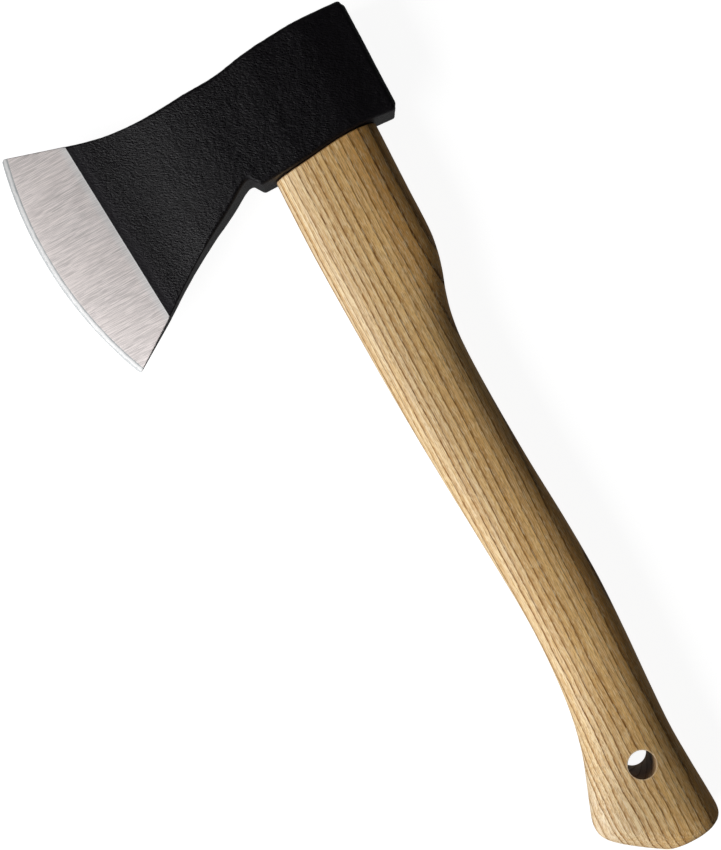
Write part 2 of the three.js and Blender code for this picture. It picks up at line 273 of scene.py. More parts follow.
CAMERA_AT = Vector((0.13489, -0.03555, 0.69505))
CAMERA_LOOKS = Vector((0.0002, -0.0074, -1))
CAMERA_UP = Vector((-0.8838, 0.4678, -0.0036))
CAMERA_LENS = 68.0
KEY_SIDE = Vector((0.12, -1.0, 0))      # the key light stands on the side of the cutting edge
KEY_ELEVATION = 31
KEY_DISTANCE = 1.5
KEY_SIZE = (1.3, 1.0)
KEY_POWER = 30
FLOOR_HALF = 3.0
FLOOR_GLOW = 0.93
FLOOR_SHADE = 0.25                      # the share of the light on the floor that shows shadows


def make_camera():
    """A long lens above the hatchet, looking down on its cheek."""
    data = bpy.data.cameras.new("camera")
    data.lens = CAMERA_LENS
    data.sensor_width = 36
    data.clip_start = 0.01
    camera = bpy.data.objects.new("camera", data)
    back = -CAMERA_LOOKS.normalized()
    right = CAMERA_UP.cross(back).normalized()
    up = back.cross(right)
    camera.matrix_world = Matrix.Translation(CAMERA_AT) @ Matrix((right, up, back)).transposed().to_4x4()
    bpy.context.scene.collection.objects.link(camera)
    bpy.context.scene.camera = camera


def make_key():
    """A large soft light beside the cutting edge, facing the middle of the hatchet."""
    data = bpy.data.lights.new("key", "AREA")
    data.shape = "RECTANGLE"
    data.size, data.size_y = KEY_SIZE
    data.energy = KEY_POWER
    light = bpy.data.objects.new("key", data)
    elevation = math.radians(KEY_ELEVATION)
    away = KEY_SIDE.normalized() * math.cos(elevation) + Vector((0, 0, math.sin(elevation)))
    middle = (cad_box[0] + cad_box[1]) / 2
    light.location = middle + away * KEY_DISTANCE
    light.rotation_mode = "QUATERNION"
    light.rotation_quaternion = away.to_track_quat("Z", "Y")
    bpy.context.scene.collection.objects.link(light)


make_camera()


# ---- Materials ------------------------------------------------------------------------------------

class Nodes:
    """A material's node tree, with short ways to add and join nodes."""

    def __init__(self, name):
        self.material = bpy.data.materials.new(name)
        self.material.use_nodes = True
        self.tree = self.material.node_tree
        self.tree.nodes.clear()
        self.out = self.tree.nodes.new("ShaderNodeOutputMaterial")

    def add(self, kind, inputs=(), **settings):
        """A node with its settings. An input is a value, or the output it is joined to."""
        node = self.tree.nodes.new("ShaderNode" + kind)
        for key, value in settings.items():
            setattr(node, key, value)
        for key, value in dict(inputs).items():
            if isinstance(value, bpy.types.NodeSocket):
                self.tree.links.new(value, node.inputs[key])
            else:
                node.inputs[key].default_value = value
        return node

    def math(self, operation, a, b=0.0):
        """One sum of two numbers."""
        return self.add("Math", {0: a, 1: b}, operation=operation).outputs[0]

    def ramp(self, value, stops, interpolation="LINEAR"):
        """Grey values at places along a ramp."""
        node = self.add("ValToRGB", {0: value})
        node.color_ramp.interpolation = interpolation
        elements = node.color_ramp.elements
        while len(elements) < len(stops):
            elements.new(0.5)
        for element, (place, grey) in zip(elements, sorted(stops)):
            element.position = place
            element.color = (grey, grey, grey, 1)
        return node.outputs[0]

    def mixed(self, share, a, b):
        """A number that goes from a to b with a share."""
        return self.math("ADD", self.math("MULTIPLY", share, b - a), a)

    def blend(self, share, a, b, kind="MIX"):
        """A colour that goes from a to b with a share."""
        node = self.add("Mix", data_type="RGBA", blend_type=kind)
        for socket, value in ((node.inputs[0], share), (node.inputs[6], a), (node.inputs[7], b)):
            if isinstance(value, bpy.types.NodeSocket):
                self.tree.links.new(value, socket)
            elif isinstance(value, (int, float)):
                socket.default_value = value
            else:
                socket.default_value = (*value, 1)
        return node.outputs[2]

    def between(self, value, low, high, at_low=0.0, at_high=1.0):
        """A smooth step of a value from at_low to at_high."""
        return self.add("MapRange", {0: value, 1: low, 2: high, 3: at_low, 4: at_high},
                        interpolation_type="SMOOTHSTEP").outputs[0]

    def place(self):
        """Object coordinates in metres."""
        return self.add("TexCoord").outputs["Object"]

    def noise(self, vector, cells, detail=2.0, rough=0.5, offset=(0, 0, 0)):
        """Noise from 0 to 1 with so many cells per metre along each axis."""
        moved = self.add("Mapping", {0: vector, "Location": offset, "Scale": cells}).outputs[0]
        return self.add("TexNoise", {"Vector": moved, "Scale": 1.0, "Detail": detail,
                                     "Roughness": rough}).outputs[0]

    def surface(self, inputs):
        """Ends the tree with a principled shader, and returns the material."""
        shader = self.add("BsdfPrincipled", inputs)
        self.tree.links.new(shader.outputs[0], self.out.inputs[0])
        return self.material


# Growth rings of the handle: flat layers, stacked from the front to the back. These are the ring
# heights, in millimetres, of their open-pored lines.
RING_LINES = [-28.5, -23.6, -21.2, -18.4, -15.8, -11.4, -8.6, -5.3, -1.7, 1.6, 6.2, 9.2, 11.0, 14.9,
              19.2, 23.4, 29.5]
RING_TILT = 0.3                 # the layers lean: ring height is Y plus this share of Z
RING_SPAN = 32.0                # ring heights run this far each way


def ring_number(nodes, height):
    """Turns ring height in metres into a ring number that is whole at each line."""
    curve = nodes.add("FloatCurve")
    points = curve.mapping.curves[0].points
    count = len(RING_LINES) + 1
    marks = [((line + RING_SPAN) / (2 * RING_SPAN), (k + 1) / count)
             for k, line in enumerate(RING_LINES)]
    points[0].location = (0.0, 0.0)
    points[-1].location = (1.0, 1.0)
    for mark in marks:
        points.new(*mark)
    curve.mapping.update()
    span = RING_SPAN * MM
    nodes.tree.links.new(nodes.add("MapRange", {0: height, 1: -span, 2: span}).outputs[0],
                         curve.inputs["Value"])
    return nodes.math("MULTIPLY", curve.outputs[0], count)


def ash_wood():
    """Oiled ash: a ragged dark line of open pores at each growth ring with a soft brown side, long
    streaks and short pore dashes between them. Paler towards the front, partly as sapwood and partly
    as a painted sheen, with a painted highlight along the front edge; darker and warmer towards the
    back, partly as the wood's own tone and partly as painted fill light on the shaded side."""
    n = Nodes("oiled ash")
    place = n.place()
    x, y, z = n.add("SeparateXYZ", {0: place}).outputs
    slow = n.noise(place, (8, 30, 30), 1.0)
    quick = n.noise(place, (50, 90, 90), 2.0, offset=(3, 0, 0))
    ragged = n.noise(place, (330, 2300, 2300), 2.0, 0.6, (2, 6, 1))
    knob = n.between(x, 0.24, 0.33, 0.7, 2.2)
    height = n.math("ADD", y, n.math("MULTIPLY", n.math("SUBTRACT", z, MID_Z * MM), RING_TILT))
    sway = n.math("MULTIPLY", n.math("SUBTRACT", slow, 0.5), 0.0020)
    wave = n.math("MULTIPLY", n.math("MULTIPLY", n.math("SUBTRACT", quick, 0.5), 0.0016), knob)
    height = n.math("ADD", n.math("ADD", height, sway), wave)
    ring = ring_number(n, height)
    ring = n.math("ADD", ring, n.math("MULTIPLY", n.math("SUBTRACT", ragged, 0.5), 0.15))
    past = n.math("FRACT", ring)
    whole = n.math("FLOOR", ring)
    strength = n.add("TexWhiteNoise", {"W": whole}, noise_dimensions="1D").outputs[0]
    strength = n.mixed(strength, 0.55, 1.1)
    fine_lines = n.ramp(n.math("FRACT", n.math("MULTIPLY", ring, 3.0)),
                        [(0, 1), (0.16, 0.75), (0.34, 0.0), (0.93, 0.0), (1, 1)])
    pore_line = n.ramp(past, [(0, 1), (0.08, 1), (0.15, 0.5), (0.24, 0.16), (0.42, 0.0),
                              (0.96, 0.0), (0.985, 0.9)])
    halo = n.ramp(past, [(0, 0.9), (0.12, 1), (0.36, 0.55), (0.75, 0.1), (0.9, 0.1), (1, 0.9)], "EASE")
    dashes = n.between(n.noise(place, (210, 2600, 2600), 3.0, 0.6), 0.40, 0.62)
    pores = n.math("MULTIPLY", pore_line, n.mixed(dashes, 0.75, 1.0))
    specks = n.between(n.noise(place, (300, 2700, 2700), 1.0, 0.7, (7, 3, 1)), 0.50, 0.62)
    pale_specks = n.between(n.noise(place, (270, 2300, 2300), 1.0, 0.7, (3, 8, 5)), 0.52, 0.64)
    streaks = n.noise(place, (9, 900, 900), 3.0, 0.7, (1, 5, 2))
    fibre = n.noise(place, (70, 2400, 2400), 3.0, 0.7, (6, 1, 3))
    cloud = n.noise(place, (14, 120, 120), 2.0, 0.5, (4, 4, 4))

    heart = n.blend(n.between(cloud, 0.35, 0.65), (0.86, 0.575, 0.27), (0.75, 0.475, 0.205))
    # Paler towards the front, which faces the key light: partly sapwood, partly a painted sheen
    sapwood_and_sheen = n.blend(n.between(cloud, 0.35, 0.65), (0.86, 0.70, 0.485), (0.82, 0.64, 0.41))
    wood = n.blend(n.between(height, -0.016, 0.004), sapwood_and_sheen, heart)
    # Painted highlight: a pale cream along the very front edge, which faces the key light
    wood = n.blend(n.between(height, -0.026, -0.018, 0.7, 0.0), wood, (0.84, 0.74, 0.60))
    wood = n.blend(n.between(streaks, 0.42, 0.66, 0.0, 0.55), wood, (0.56, 0.335, 0.14))
    # The back, which lies in shade, turns a warmer orange-brown: partly the wood's browner tone, partly
    # painted fill light
    back_tone_and_painted_fill = n.between(height, 0.007, 0.019)
    wood = n.blend(n.math("MULTIPLY", back_tone_and_painted_fill, n.mixed(streaks, 0.6, 1.0)), wood, (0.80, 0.415, 0.125))
    thin = n.math("MULTIPLY", fine_lines, n.between(streaks, 0.40, 0.62, 0.0, 0.5))
    wood = n.blend(thin, wood, (0.34, 0.195, 0.075))
    wood = n.blend(n.math("MULTIPLY", n.math("MULTIPLY", halo, strength), 0.6), wood, (0.50, 0.265, 0.085))
    pores = n.math("MULTIPLY", pores, strength)
    wood = n.blend(pores, wood, (0.115, 0.048, 0.011))
    wood = n.blend(n.math("MULTIPLY", specks, 0.45), wood, (0.27, 0.14, 0.045))
    wood = n.blend(n.math("MULTIPLY", pale_specks, 0.35), wood, (1.0, 0.84, 0.58))
    wood = n.blend(n.between(fibre, 0.3, 0.7, 0.0, 0.7), wood, (0.80, 0.62, 0.38), "SOFT_LIGHT")

    # The hanging hole: paler broken fibres on its rim, browner on the wall of the bore
    away = n.add("VectorMath", {0: n.add("CombineXYZ", {0: x, 1: y}).outputs[0],
                                1: (HOLE[0] * MM, HOLE[1] * MM, 0)}, operation="DISTANCE").outputs[1]
    wall = HOLE_RADIUS * MM
    rim = n.math("MULTIPLY", n.between(away, wall + 0.02 * MM, wall + 0.12 * MM),
                 n.between(away, wall + 0.3 * MM, wall + 0.6 * MM, 1.0, 0.0))
    wood = n.blend(n.math("MULTIPLY", rim, 0.5), wood, (0.80, 0.66, 0.46))
    wood = n.blend(n.between(away, wall + 0.01 * MM, wall + 0.12 * MM, 0.7, 0.0), wood, (0.17, 0.10, 0.06))
    # The shoulder and the wood under the head are darker: partly the shoulder's sawn end grain, partly
    # painted shade where the handle meets the head. And the darker end grain of butt and tongue
    cut = n.add("Attribute", attribute_name="past_shoulder").outputs["Fac"]
    wood = n.blend(n.between(cut, 0.1, 0.7, 0.75, 0.0), wood, (0.30, 0.15, 0.06))
    butt_end = n.between(x, (BUTT_X - 1.4) * MM, BUTT_X * MM, 0.0, 0.5)
    tongue_end = n.between(x, -24 * MM, -20 * MM, 0.45, 0.0)
    end = n.math("MAXIMUM", butt_end, tongue_end)
    wood = n.blend(end, wood, (0.30, 0.155, 0.06))

    rough = n.math("ADD", n.math("MULTIPLY", pores, 0.2), n.between(fibre, 0.3, 0.7, 0.48, 0.62))
    low = n.math("ADD", n.math("MULTIPLY", pores, -1.0), n.math("MULTIPLY", specks, -0.6))
    relief = n.math("ADD", low, n.math("MULTIPLY", fibre, 0.5))
    bump = n.add("Bump", {"Strength": 0.4, "Distance": 0.00006, "Height": relief})
    return n.surface({"Base Color": wood, "Roughness": rough, "Normal": bump.outputs[0],
                      "Specular IOR Level": 0.2})


def forged_and_ground():
    """Black lacquer over forged steel, and bare steel past the grind line: brushed across, with a
    honed strip along the edge. Reads the head's own past_grind and from_edge, in millimetres."""
    n = Nodes("black lacquer and ground steel")
    place = n.place()
    past = n.add("Attribute", attribute_name="past_grind").outputs["Fac"]
    edge = n.add("Attribute", attribute_name="from_edge").outputs["Fac"]
    ragged = n.math("MULTIPLY", n.math("SUBTRACT", n.noise(place, (900, 900, 900), 2.0), 0.5), 0.16)
    bare = n.between(n.math("ADD", past, ragged), 0.02, 0.10)

    # Lacquer
    turned = n.add("Mapping", {0: place, "Rotation": (0, 0, math.radians(-62))}).outputs[0]
    lumps = n.noise(turned, (800, 1500, 1500), 2.0, 0.65)
    grit = n.noise(place, (2500, 2500, 2500), 2.0, 0.6)
    calm = n.between(n.math("ABSOLUTE", n.math("ADD", past, 1.0)), 0.5, 4.0, 0.55, 1.0)
    black = n.blend(n.between(lumps, 0.3, 0.7), (0.0015, 0.0011, 0.0018), (0.0040, 0.0030, 0.0048))
    # Painted sheen: the lacquer just behind the grind line, where its skin is calmer, is painted lighter
    black = n.blend(n.between(past, -9.0, -3.0), black, (0.0075, 0.0062, 0.0085))
    coat_rough = n.math("ADD", n.between(grit, 0.3, 0.7, 0.42, 0.56), n.math("MULTIPLY", calm, -0.08))

    # Steel
    brushed = n.noise(place, (4600, 90, 90), 2.0, 0.8)
    scored = n.between(n.noise(place, (3600, 130, 130), 0.0, 0.5, (5, 2, 0)), 0.60, 0.68)
    broad = n.noise(place, (60, 30, 30), 2.0, 0.5, (2, 2, 2))
    steel = n.blend(n.between(brushed, 0.38, 0.62), (0.585, 0.545, 0.535), (0.88, 0.82, 0.805))
    steel = n.blend(n.math("MULTIPLY", scored, 0.4), steel, (0.38, 0.35, 0.35))
    steel = n.blend(n.between(broad, 0.3, 0.7, 0.0, 0.25), steel, (0.86, 0.78, 0.75))
    near_paint = n.between(past, 0.5, 4.5, 0.5, 0.0)
    steel = n.blend(near_paint, steel, (0.74, 0.765, 0.765))
    bright_line = n.math("MULTIPLY", n.between(past, 0.05, 0.2), n.between(past, 0.35, 0.6, 1.0, 0.0))
    steel = n.blend(n.math("MULTIPLY", bright_line, 0.6), steel, (0.85, 0.85, 0.85))
    honed = n.between(edge, HONED_WIDTH - 0.15, HONED_WIDTH + 0.1, 1.0, 0.0)
    uneven = n.math("MULTIPLY", n.math("SUBTRACT", n.noise(place, (240, 240, 240), 3.0, 0.7), 0.5), 0.5)
    across = n.math("ADD", n.math("DIVIDE", edge, HONED_WIDTH), uneven)
    # Painted highlight and shade across the honed strip: a bright band between darker blue-grey lines
    honed_highlight_band = n.ramp(across, [(0, 0.30), (0.2, 0.45), (0.4, 1.0), (0.7, 0.95), (0.86, 0.35), (1, 0.25)])
    honed_steel_and_highlight = n.blend(honed_highlight_band, (0.26, 0.28, 0.29), (0.60, 0.60, 0.60))
    steel = n.blend(honed, steel, honed_steel_and_highlight)
    steel_rough = n.mixed(brushed, 0.54, 0.62)

    colour = n.blend(bare, black, steel)
    rough = n.add("Mix", {0: bare, 2: coat_rough, 3: steel_rough}, data_type="FLOAT").outputs[0]
    bumps = n.math("MULTIPLY", n.math("ADD", lumps, n.math("MULTIPLY", grit, 0.30)), calm)
    scratches = n.math("MULTIPLY", brushed, 0.10)
    height = n.add("Mix", {0: bare, 2: bumps, 3: scratches}, data_type="FLOAT").outputs[0]
    bump = n.add("Bump", {"Strength": 1.0, "Distance": 0.00042, "Height": height})
    return n.surface({"Base Color": colour, "Metallic": bare, "Roughness": rough,
                      "Normal": bump.outputs[0], "Specular IOR Level": 0.24})


def wedge_wood():
    """Sawn hardwood of the wedge, with fine lines along its length and dark pores at its end."""
    n = Nodes("sawn hardwood")
    place = n.place()
    fibre = n.noise(place, (60, 1500, 3000), 3.0, 0.65)
    pores = n.between(n.noise(place, (200, 5200, 5200), 2.0, 0.6, (3, 1, 1)), 0.58, 0.7)
    wood = n.blend(n.between(fibre, 0.3, 0.7), (0.34, 0.19, 0.085), (0.46, 0.28, 0.13))
    wood = n.blend(n.math("MULTIPLY", pores, 0.6), wood, (0.12, 0.06, 0.03))
    bump = n.add("Bump", {"Strength": 0.5, "Distance": 0.0001, "Height": fibre})
    return n.surface({"Base Color": wood, "Roughness": n.mixed(fibre, 0.55, 0.75),
                      "Normal": bump.outputs[0]})


def wedge_steel():
    """Plain steel of the ring wedge, dulled, with small hammer marks."""
    n = Nodes("hammered steel")
    place = n.place()
    marks = n.noise(place, (700, 700, 700), 3.0, 0.6)
    stain = n.noise(place, (260, 260, 260), 2.0, 0.5, (1, 1, 1))
    steel = n.blend(n.between(marks, 0.3, 0.7), (0.36, 0.36, 0.37), (0.56, 0.555, 0.55))
    steel = n.blend(n.between(stain, 0.55, 0.75, 0.0, 0.5), steel, (0.22, 0.16, 0.12))
    bump = n.add("Bump", {"Strength": 0.6, "Distance": 0.0002, "Height": marks})
    return n.surface({"Base Color": steel, "Metallic": 1.0, "Roughness": n.mixed(marks, 0.32, 0.55),
                      "Normal": bump.outputs[0]})


# ---- Head -------------------------------------------------------------------------------------------

top_line = line_through(TOP_LINE)
under_line = line_through(UNDER_LINE)
head_half = line_through(HEAD_HALF)

# Inward places that spread a rounded corner evenly: one less the tangent of even angles
CORNER = 1 - np.tan(np.radians(np.linspace(45, 0, 6)))


def corner_inset(y):
    """How far a rounded poll corner comes in from the straight line at this Y: a circle, left off
    just before it would run square to the line."""
    along = np.maximum(y - (POLL_Y - POLL_CORNER), 0)
    return POLL_CORNER - np.sqrt(POLL_CORNER**2 - np.minimum(along, POLL_CORNER * 0.92) ** 2)


def head_top(y):
    """The top line with its rounded poll corner."""
    return top_line(y) + corner_inset(y)


def head_under(y):
    """The under line with its rounded poll corner."""
    return under_line(y) - corner_inset(y)


def edge_arc(s):
    """The cutting edge: an arc of EDGE_RADIUS from the toe, s = 0, to the heel, s = 1."""
    chord = HEEL - TOE
    half = np.hypot(*chord) / 2
    inward = np.array([-chord[1], chord[0]]) / (2 * half)
    centre = (TOE + HEEL) / 2 + inward * math.sqrt(EDGE_RADIUS**2 - half**2)
    start = math.atan2(*(TOE - centre)[::-1])
    end = math.atan2(*(HEEL - centre)[::-1])
    angle = mix(start, end, s)
    return centre[0] + EDGE_RADIUS * np.cos(angle), centre[1] + EDGE_RADIUS * np.sin(angle)


def bevel_point(s, w):
    """A point of the bevel: w = 0 on the straight grind line, w = 1 on the edge, kept to the top
    line at s = 0 and to the under line at s = 1."""
    def plain(q):
        ex, ey = edge_arc(q)
        return mix(mix(GRIND_TOP[0], GRIND_LOW[0], q), ex, w), mix(mix(GRIND_TOP[1], GRIND_LOW[1], q), ey, w)
    px, py = plain(s)
    top_x, top_y = plain(0.0 * s)
    low_x, low_y = plain(0.0 * s + 1)
    return px + (1 - s) * (top_line(top_y) - top_x) + s * (under_line(low_y) - low_x), py


class HeadRows:
    """Rows across the head from the poll to the edge. Body rows lie at a constant Y; blade rows
    turn towards the grind line; bevel rows go from the grind line to the edge. Each row holds, at
    every share s from the top line to the under line, its X, Y, half thickness and the two
    distances that the finish follows."""

    def __init__(self):
        poll_in = POLL_Y - POLL_RADIUS
        corners_end = min(poll_in, POLL_Y - POLL_CORNER) - 0.5
        half_eye = EYE_LENGTH / 2
        self.body_y = np.concatenate([
            POLL_Y - POLL_RADIUS * CORNER,
            steps(poll_in, corners_end, 0.25),
            steps(corners_end, half_eye, 0.8),
            half_eye * np.cos(np.linspace(0, math.pi, 81))[1:],
            steps(-half_eye, THROAT_END_Y, 0.5),
            steps(THROAT_END_Y, BLADE_ROOT_Y, 0.75),
        ])
        self.turning = np.linspace(0, 1, 45)[1:]
        self.bevel = np.concatenate([[0.003, 0.01], np.linspace(0, 1, 44)[1:]])
        self.honed = np.linspace(0, 1, 8)[1:]
        self.count = sum(map(len, (self.body_y, self.turning, self.bevel, self.honed)))
        self.eye = np.nonzero(np.abs(self.body_y) <= half_eye + 1e-9)[0]

    def radius(self):
        """The corner radius of each row."""
        body = mix(POLL_RADIUS, FORGED_RADIUS, smooth(0, POLL_RADIUS_FADES, POLL_Y - self.body_y))
        body = mix(BLADE_RADIUS, body, smooth(*BLADE_RADIUS_FADES, self.body_y))
        turning_y = mix(BLADE_ROOT_Y, GRIND_LEVEL_Y, self.turning)
        left = smooth(*BLADE_RADIUS_FADES, turning_y) / smooth(*BLADE_RADIUS_FADES, BLADE_ROOT_Y)
        turning = mix(BLADE_RADIUS, body[-1], left)
        bevel = np.minimum(mix(BLADE_RADIUS, GROUND_RADIUS, smooth(0, 0.03, self.bevel)),
                           RIM_SHARE * mix(GRIND_HALF, HONED_HALF, self.bevel))
        honed = RIM_SHARE * HONED_HALF * (1 - self.honed)
        return np.concatenate([body, turning, bevel, honed])

    def at(self, s):
        """The rows at shares s, one column for each share. s has one row, or one for each row."""
        s = np.broadcast_to(s, (self.count, s.shape[-1]))
        cuts = np.cumsum([len(self.body_y), len(self.turning), len(self.bevel)])
        s_body, s_turn, s_bevel, s_honed = np.split(s, cuts)
        y = self.body_y[:, None]
        body = stacked(mix(head_top(y), head_under(y), s_body), y, head_half(y),
                       FAR_FROM_GRIND, FAR_FROM_EDGE)

        t = self.turning[:, None]
        grind_y = mix(GRIND_TOP[1], GRIND_LOW[1], s_turn)
        top_y = mix(BLADE_ROOT_Y, GRIND_TOP[1], t)
        under_y = mix(BLADE_ROOT_Y, GRIND_LOW[1], t)
        level_y = mix(BLADE_ROOT_Y, GRIND_LEVEL_Y, t)
        turn_y = mix(BLADE_ROOT_Y, grind_y, t)
        turn = stacked(mix(top_line(top_y), under_line(under_y), s_turn), turn_y, head_half(level_y),
                       grind_y - turn_y, FAR_FROM_EDGE)

        def ground(s, w, half):
            """Rows of the two bevels: w = 0 on the grind line, 1 at the honed one, 2 on the edge."""
            gx, gy = bevel_point(s, 0.0)
            ex, ey = edge_arc(s)
            width = np.hypot(ex - gx, ey - gy)
            share = 1 - HONED_WIDTH / width
            along = np.where(w <= 1, w * share, mix(share, 1, w - 1))
            px, py = bevel_point(s, along)
            return stacked(px, py, half, along * width, (1 - along) * width)
        w = self.bevel[:, None]
        belly = BEVEL_CROWN * 4 * w * (1 - w)
        bevel = ground(s_bevel, w, mix(GRIND_HALF, HONED_HALF, w) + belly)
        u = self.honed[:, None]
        honed = ground(s_honed, 1 + u, HONED_HALF * (1 - u) * (1 + HONED_CROWN * u))
        return np.concatenate([body, turn, bevel, honed])


def forge_relief(x, y, z):
    """How far the forged skin lies under the true surface, in millimetres, never below zero: long
    soft waves, hammered wrinkles of one or two millimetres and a few pits. The noise is read at
    slanted coordinates, so that it runs on without a break over rims and corners."""
    u, v = x + 0.8 * z, y + 0.6 * z
    waves = WAVE_DEPTH * (1 + rolling_noise(u, v, WAVE_SIZE, seed=11))
    wrinkles = WRINKLE_DEPTH * (1 + rolling_noise(u + 0.6 * v, v, WRINKLE_SIZE, seed=12))
    fine = FINE_DEPTH * (1 + rolling_noise(u, v + 0.3 * u, FINE_SIZE, seed=13))
    pits = PIT_DEPTH * smooth(0.80, 0.97, rolling_noise(u, v, PIT_SIZE, seed=14))
    return waves + wrinkles + fine + pits


def rounded(inward, radius):
    """Rounds the corners of a box. inward holds the distances of a point from up to three faces;
    the ones nearer than the radius are moved onto the ball or rod of that radius. Returns the new
    distances and the outward direction, one part for each face."""
    short = [np.maximum(radius - d, 0) for d in inward]
    length = np.maximum(np.sqrt(sum(d * d for d in short)), 1e-9)
    outward = [d / length for d in short]
    moved = [np.where(d < radius, radius * (1 - o), d) for d, o in zip(inward, outward)]
    return moved, outward


def worn_corner(x, y, tip, along_a, along_b, radius):
    """Brings points past a sharp corner in onto a circle of that radius that touches both sides."""
    a, b = (np.array(v, float) / np.hypot(*v) for v in (along_a, along_b))
    half = math.acos(np.clip(a @ b, -1, 1)) / 2
    bisector = (a + b) / np.hypot(*(a + b))
    centre = np.array(tip) + bisector * radius / math.sin(half)
    dx, dy = x - centre[0], y - centre[1]
    away = np.hypot(dx, dy)
    facing = -(dx * bisector[0] + dy * bisector[1]) > away * math.sin(half) - 1e-9
    pull = np.where(facing & (away > radius), radius / np.maximum(away, 1e-9), 1)
    return centre[0] + dx * pull, centre[1] + dy * pull


def head_points(rows, across, depth, sign):
    """Points of the head's skin. across is the distance in from the nearer of the top and under
    lines, negative values counting from the under line; depth is the distance in from the cheek;
    sign is 1 for the upper cheek and -1 for the lower one."""
    ends = rows.at(np.array([[0.0, 1.0]]))
    span = (ends[:, 1, 0] - ends[:, 0, 0])[:, None]
    from_top = ~np.signbit(across)
    s = np.where(from_top, 0.0, 1.0) + across / span
    x, y, half, past, edge = np.moveaxis(rows.at(s), -1, 0)
    radius = rows.radius()[:, None]
    poll = np.full((rows.count, 1), NO_FACE)
    poll[:len(rows.body_y), 0] = POLL_Y - rows.body_y
    inward = [np.broadcast_to(d, x.shape) for d in (np.abs(across), poll, depth)]
    moved, outward = rounded(inward, radius)
    # The forged skin calms down towards the bevel, where the blade has been drawn out smooth
    rough = smooth(-1, 7, -past)
    sink = forge_relief(x, y, sign * (half - depth)) * rough * (0.55 + 0.45 * smooth(-90, -30, y))
    towards = np.where(from_top, 1, -1)
    x = x + towards * (moved[0] - inward[0] + sink * outward[0])
    y = y - (moved[1] - inward[1] + sink * outward[1])
    z = MID_Z + sign * (half - moved[2] - sink * outward[2])
    # The lacquer runs on over the narrow top and under faces of the blade
    past = np.where(outward[0] > 0.75, LACQUERED, past)
    x, y = worn_corner(x, y, TOE, GRIND_TOP - TOE, edge_direction(0), TOE_RADIUS)
    under_side = np.array(UNDER_LINE[1][::-1]) - HEEL
    x, y = worn_corner(x, y, HEEL, under_side, -edge_direction(1), HEEL_RADIUS)
    return stacked(x, y, z, past, edge)


def edge_direction(s):
    """The direction of the cutting edge at s, from the toe towards the heel."""
    a, b = edge_arc(s - 0.005), edge_arc(s + 0.005)
    return np.array([b[0] - a[0], b[1] - a[1]])


def axe_head():
    """The forged head: two cheeks, the top and under faces with the eye's mouths in them, the poll
    and the bore of the eye. The grid lines of the top and under faces part round the eye."""
    rows = HeadRows()
    radius = rows.radius()[:, None]
    ends = rows.at(np.array([[0.0, 1.0]]))
    half = ends[:, :1, 2]
    span = (ends[:, 1, 0] - ends[:, 0, 0])[:, None]
    inner = np.linspace(0, 1, 45)[None, :]
    to_middle = np.concatenate([radius * CORNER[None, :-1], mix(radius, span / 2, inner)], 1)
    from_under = -to_middle[:, ::-1]
    across = np.concatenate([to_middle, from_under[:, 1:]], 1)
    eye_half = oval_height(rows.body_y, EYE_LENGTH / 2, EYE_WIDTH / 2, TONGUE_POWER)
    lip = np.zeros((rows.count, 1))
    lip[:len(rows.body_y), 0] = np.where(np.abs(rows.body_y) < EYE_LENGTH / 2, eye_half, 0)
    levels = np.linspace(0, 1, 9)[None, :]
    depth = np.concatenate([radius * CORNER[None, :-1], mix(radius, half - lip, levels)], 1)
    edge_side = 0.0 * depth
    patches = []
    for sign in (1, -1):
        patches.append(head_points(rows, across, 0.0 * across, sign))
        top = head_points(rows, edge_side, depth, sign)
        under = head_points(rows, -edge_side, depth, sign)
        patches += [top, under]
        bore_top, bore_under = top[rows.eye, -1], under[rows.eye, -1]
        through = np.linspace(0, 1, 33)[None, :, None]
        patches.append(mix(bore_top[:, None], bore_under[:, None], through))
        patches.append(poll_face(across[:1], depth[:1], half[0, 0], sign))
    return closed_mesh("axe_head", patches, ("past_grind", "from_edge"), sharp=50)


def poll_face(across, depth, half, sign):
    """The striking face, square to Y, in the grid of the cheek's columns and the side's levels."""
    depth = depth.T
    from_top = ~np.signbit(across)
    x = across + np.where(from_top, head_top(POLL_Y), head_under(POLL_Y))
    inward = np.broadcast_arrays(np.abs(across), 0.0, depth)
    moved, outward = rounded(inward, POLL_RADIUS)
    towards = np.where(from_top, 1, -1)
    # The same skin as the cheek at the rim, and a flatter one inside
    inside = smooth(0, 3, np.minimum(inward[0], inward[2]))
    sink = forge_relief(x, POLL_Y, sign * (half - depth)) * (1 - 0.5 * inside)
    x = x + towards * (moved[0] - inward[0] + sink * outward[0])
    y = POLL_Y - (moved[1] - inward[1] + sink * outward[1])
    z = MID_Z + sign * (half - moved[2] - sink * outward[2])
    return stacked(x, y, z, FAR_FROM_GRIND, FAR_FROM_EDGE)


# ---- Handle -----------------------------------------------------------------------------------------

front_line = line_through(FRONT_LINE)
back_line = line_through(BACK_LINE)
side_line = line_through(SIDE_LINE)
AROUND = 136                    # points around the grip


def grip_section(x, angle, shrink=0.0):
    """Points of the grip: a squared ellipse between the front and back lines."""
    middle = (front_line(x) + back_line(x)) / 2
    y, z = oval(angle, (back_line(x) - front_line(x)) / 2 - shrink, side_line(x) - shrink, SECTION_POWER)
    return middle + y, z


def grip_height(x, y):
    """The height of the grip's upper skin over a point of the middle plane."""
    middle = (front_line(x) + back_line(x)) / 2
    return oval_height(y - middle, (back_line(x) - front_line(x)) / 2, side_line(x), SECTION_POWER)


def shoulder(y):
    """The shoulder beds against the head's under line."""
    return under_line(y) + FIT_GAP


def grip_places():
    """Places along the grip, about a millimetre apart and closer towards the butt."""
    start = SHOULDER_X + 2.5
    return np.concatenate([
        [start],
        steps(start, KNOB_X, 1.05),
        steps(KNOB_X, BUTT_CORNERS_X, 0.8),
        steps(BUTT_CORNERS_X, BUTT_TURN_X, 0.45),
        BUTT_X - (BUTT_X - BUTT_TURN_X) * np.linspace(1, 0, 12)[1:] ** 1.6,
    ])


